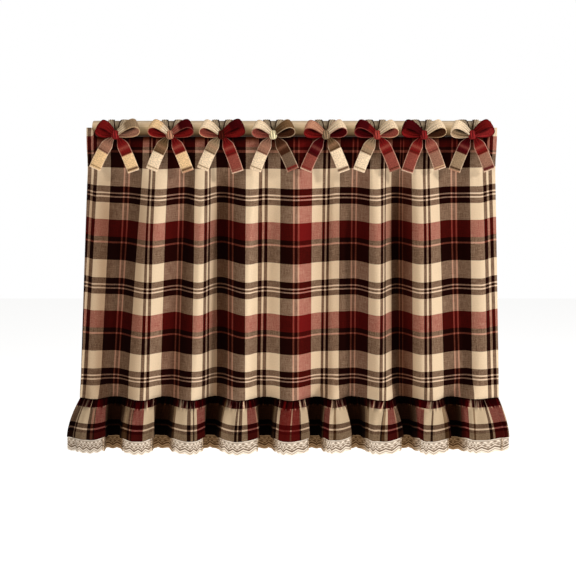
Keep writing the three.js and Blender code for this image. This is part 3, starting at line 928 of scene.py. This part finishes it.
def tail(side, aside, drop, upper, lower, change, bar="brown", hem="pale", barred=0.014):
    inward = KNOT["out"] - TAIL["end_out"]
    start = np.array(TAIL["start"]) * (side, 1, 1)
    end = np.array([side * aside, inward, -drop])
    bend = end * TAIL["bend"]
    t = np.linspace(0, 1, RIBBON_ROWS)[:, None]
    middle = (1 - t) ** 2 * start + 2 * t * (1 - t) * bend + t ** 2 * end
    along = unit(2 * (1 - t) * (bend - start) + 2 * t * (end - bend))
    level = unit(np.stack([-along[:, 2], np.zeros(len(t)), along[:, 0]], axis=-1))
    across = level * half_width(smooth(t, 0, TAIL["open"]))

    def dye(place, share, _):
        colours = encoded(upper)
        for thread, strength in (
                (lower, smooth(share, change - 0.012, change + 0.012)),
                ("fawn", 0.35 * bell(share - change * 0.62, 0.055)),
                ("umber", 0.7 * bell(share - change + 0.035, 0.012)),
                (bar, 0.85 * bell(share - 0.92, barred)),
                (hem, 0.8 * smooth(share, 0.965, 0.975))):
            colours = lerp(colours, encoded(thread), strength[..., None])
        return edged(colours, place)

    return ribbon(middle, across, 1.2 * np.ones(len(t)), dye)


def strap(side, knot):
    sewn_y, sewn_z = -STRAP["out"], PANEL["top"] - STRAP["below"]
    clear = ROD["radius"] + STRAP["clearance"] + BOW["cloth"] / 2
    leaves = math.atan2(sewn_z, sewn_y) + math.acos(clear / math.hypot(sewn_y, sewn_z))
    angles = np.linspace(leaves, math.pi, 26)
    bottom = np.array([[sewn_y + STRAP["slope"] * STRAP["sewn"], sewn_z - STRAP["sewn"]],
                       [sewn_y, sewn_z]])
    turn = clear * np.stack([np.cos(angles), np.sin(angles)], axis=-1)
    last = (knot + STRAP["tuck"])[1:]
    route = np.concatenate([lerp(bottom[0], bottom[1], np.linspace(0, 1, 8)[:-1, None]),
                            lerp(bottom[1], turn[0], np.linspace(0, 1, 6)[:-1, None]),
                            turn, lerp(turn[-1], last, np.linspace(0, 1, 7)[1:, None])])
    share = arc_lengths(route) / arc_lengths(route)[-1]
    drawn = smooth(share, STRAP["drawn"], 1)
    centre = side * lerp(STRAP["apart"], STRAP["at_knot"], drawn)
    half = lerp(STRAP["width"], BOW["waist"], drawn) / 2
    middle = np.column_stack([knot[0] + centre, route])
    across = half[:, None] * np.array([-1, 0, 0])

    def dye(place, *_):
        # Painted shadow: the strap's inner edge is dark where the straps shade the rod between
        # them.
        inner = smooth(place * side, 0.4, 0.65)[..., None]
        return lerp(encoded("cream"), encoded("umber"), inner)

    return ribbon(middle, across, -0.6 * drawn, dye)


def knot_lump(colour):
    """A rounded square of cloth, with upright wrinkles."""
    rows, columns = 30, 60
    up = np.linspace(0, np.pi, rows)[:, None]
    round_it = np.linspace(0, 2 * np.pi, columns, endpoint=False)[None]
    wrinkles = np.sin(9 * round_it + 1.5 * np.cos(up)) * np.sin(up)
    flattened = np.sin(up) ** 0.6 * (1 + 0.05 * wrinkles)
    squared = (np.abs(np.cos(round_it)) ** 4 + np.abs(np.sin(round_it)) ** 4) ** -0.25
    squared = lerp(1, squared, 0.5)
    points = np.stack([KNOT["width"] / 2 * flattened * squared * np.cos(round_it),
                       KNOT["depth"] / 2 * flattened * np.sin(round_it),
                       KNOT["tall"] / 2 * np.cos(up) * np.ones_like(round_it)],
                      axis=-1).reshape(-1, 3)
    # Painted shade in the wrinkles' hollows and painted highlight on their ridges.
    dyes = encoded(colour) * lerp(0.6, 1.1, (1 + wrinkles.reshape(-1, 1)) / 2)
    return points, round_faces(rows, columns), points[:, [0, 2]], dyes


def make_bow(number, bow, material):
    knot = np.array([bow["at"], -KNOT["out"], KNOT["height"]], float)
    parts = [knot_lump(bow["knot"])]
    for side, name, first in ((-1, "left", 0), (1, "right", 1)):
        reach, lift, aside, drop = bow[name]
        parts.append(loop(side, reach, lift, *bow["loops"][first]))
        parts.append(tail(side, aside, drop, *bow["tails"][first]))
    parts = [(points + knot, *rest) for points, *rest in parts]
    parts += [strap(side, knot) for side in (-1, 1)]
    node = f"bow_{number}"
    made = piece(f"curtain_{node}", merged(parts), material, node)


# ------------------------------------------------------------------------------- the rod

def make_rod():
    rings, columns = 180, 96
    edge, half = ROD["edge"], ROD["length"] / 2
    bend = np.linspace(0, np.pi / 2, 5)
    tip = half - edge + edge * np.cos(bend)
    round_edge = ROD["radius"] - edge + edge * np.sin(bend)
    run = np.concatenate([[half], tip, np.linspace(half - 4, -half + 4, rings), -tip[::-1],
                          [-half]])
    size = np.concatenate([[0], round_edge, np.full(rings, ROD["radius"]), round_edge[::-1],
                           [0]])
    run, angle = (value.ravel() for value in np.meshgrid(
        run, np.linspace(0, 2 * np.pi, columns, endpoint=False), indexing="ij"))
    across = np.repeat(size, columns)
    points = np.stack([run, across * np.cos(angle), across * np.sin(angle)], axis=-1)
    flat = np.stack([run, angle * ROD["radius"]], axis=-1)
    # Painted shade: darker towards the underside, with a painted highlight above the middle and a
    # darker top edge.
    up = points[:, 2] / ROD["radius"]
    dyes = np.stack([np.interp(up, ROD_PAINTED_LIGHT["up"], ROD_PAINTED_LIGHT[channel])
                     for channel in ("red", "green", "blue")], axis=-1)
    # Painted shadow: between its two straps a bow keeps the rod in the dark.
    for bow in BOWS:
        between = bell(run - bow["at"], ROD_PAINTED_LIGHT["strapped"])
        dyes *= 1 - ROD_PAINTED_LIGHT["dark"] * between[:, None]
    piece("curtain_rod", (points, round_faces(len(size), columns), flat, dyes), rod_wood(),
          "rod")


# ---------------------------------------------------------------------- camera and studio

VIEW = dict(distance=1700, aside=-7.5, height=-150, centre=-296, width=1075, sensor=36)
FLOOR = dict(reach=6.0, height=-0.9, glow=0.8)
AIR = 0.14
# Where each lamp is and aims, its size in metres, its power and its colour.
LAMPS = dict(
    key=((2.8, -1.6, 1.0), (0, 0, -0.3), 0.45, 70, (1, 0.98, 0.97)),
    fill=((-1.4, -2.6, 0.5), (0.05, 0, -0.3), 1.2, 15, (1, 0.86, 0.7)),
    top=((0.2, -0.7, 2.2), (0, 0, -0.3), 1.0, 18, (1, 0.98, 0.95)),
)


def make_camera():
    data = bpy.data.cameras.new("camera")
    data.sensor_width = VIEW["sensor"]
    data.lens = VIEW["sensor"] * VIEW["distance"] / VIEW["width"]
    data.shift_y = (VIEW["centre"] - VIEW["height"]) / VIEW["width"]
    camera = in_scene("camera", data)
    camera.location = (VIEW["aside"] * MM, -VIEW["distance"] * MM, VIEW["height"] * MM)
    camera.rotation_euler = (math.pi / 2, 0, 0)
    bpy.context.scene.camera = camera


def area_light(name, place, aim, size, power, colour):
    data = bpy.data.lights.new(name, "AREA")
    data.shape = "DISK"
    data.size = size
    data.energy = power
    data.color = colour
    light = in_scene(name, data)
    light.location = place
    light.rotation_euler = (Vector(aim) - Vector(place)).to_track_quat("-Z", "Y").to_euler()


def make_studio():
    mesh = bpy.data.meshes.new("floor")
    reach, height = FLOOR["reach"], FLOOR["height"]
    mesh.from_pydata([(x * reach, y * reach, height) for x, y in (
        (-1, -1), (1, -1), (1, 1), (-1, 1))], [], [(0, 1, 2, 3)])
    floor = in_scene("floor", mesh)
    mesh.materials.append(Shader("pale floor").finish({
        "Base Color": (0.93, 0.93, 0.92, 1), "Roughness": 0.8,
        "Emission Color": (1, 1, 1, 1), "Emission Strength": FLOOR["glow"]}))

    world = bpy.data.worlds.new("studio")
    world.use_nodes = True
    tree = world.node_tree
    soft = tree.nodes["Background"]
    soft.inputs["Color"].default_value = (1, 0.98, 0.95, 1)
    soft.inputs["Strength"].default_value = AIR
    white = tree.nodes.new("ShaderNodeBackground")
    white.inputs["Color"].default_value = (1, 1, 1, 1)
    seen = tree.nodes.new("ShaderNodeLightPath").outputs["Is Camera Ray"]
    either = tree.nodes.new("ShaderNodeMixShader")
    for made, socket in zip((seen, soft.outputs[0], white.outputs[0]), either.inputs):
        tree.links.new(made, socket)
    tree.links.new(either.outputs[0], tree.nodes["World Output"].inputs[0])
    bpy.context.scene.world = world

    for name, lamp in LAMPS.items():
        area_light(name, *lamp)
    bpy.context.scene.view_settings.view_transform = "Standard"


# ---------------------------------------------------------------------------- everything

make_camera()
make_studio()
make_rod()
make_panel()
make_ruffle()
make_lace()
ribbon_cloth = ribbon_plaid()
for number, bow in enumerate(BOWS, 1):
    make_bow(number, bow, ribbon_cloth)
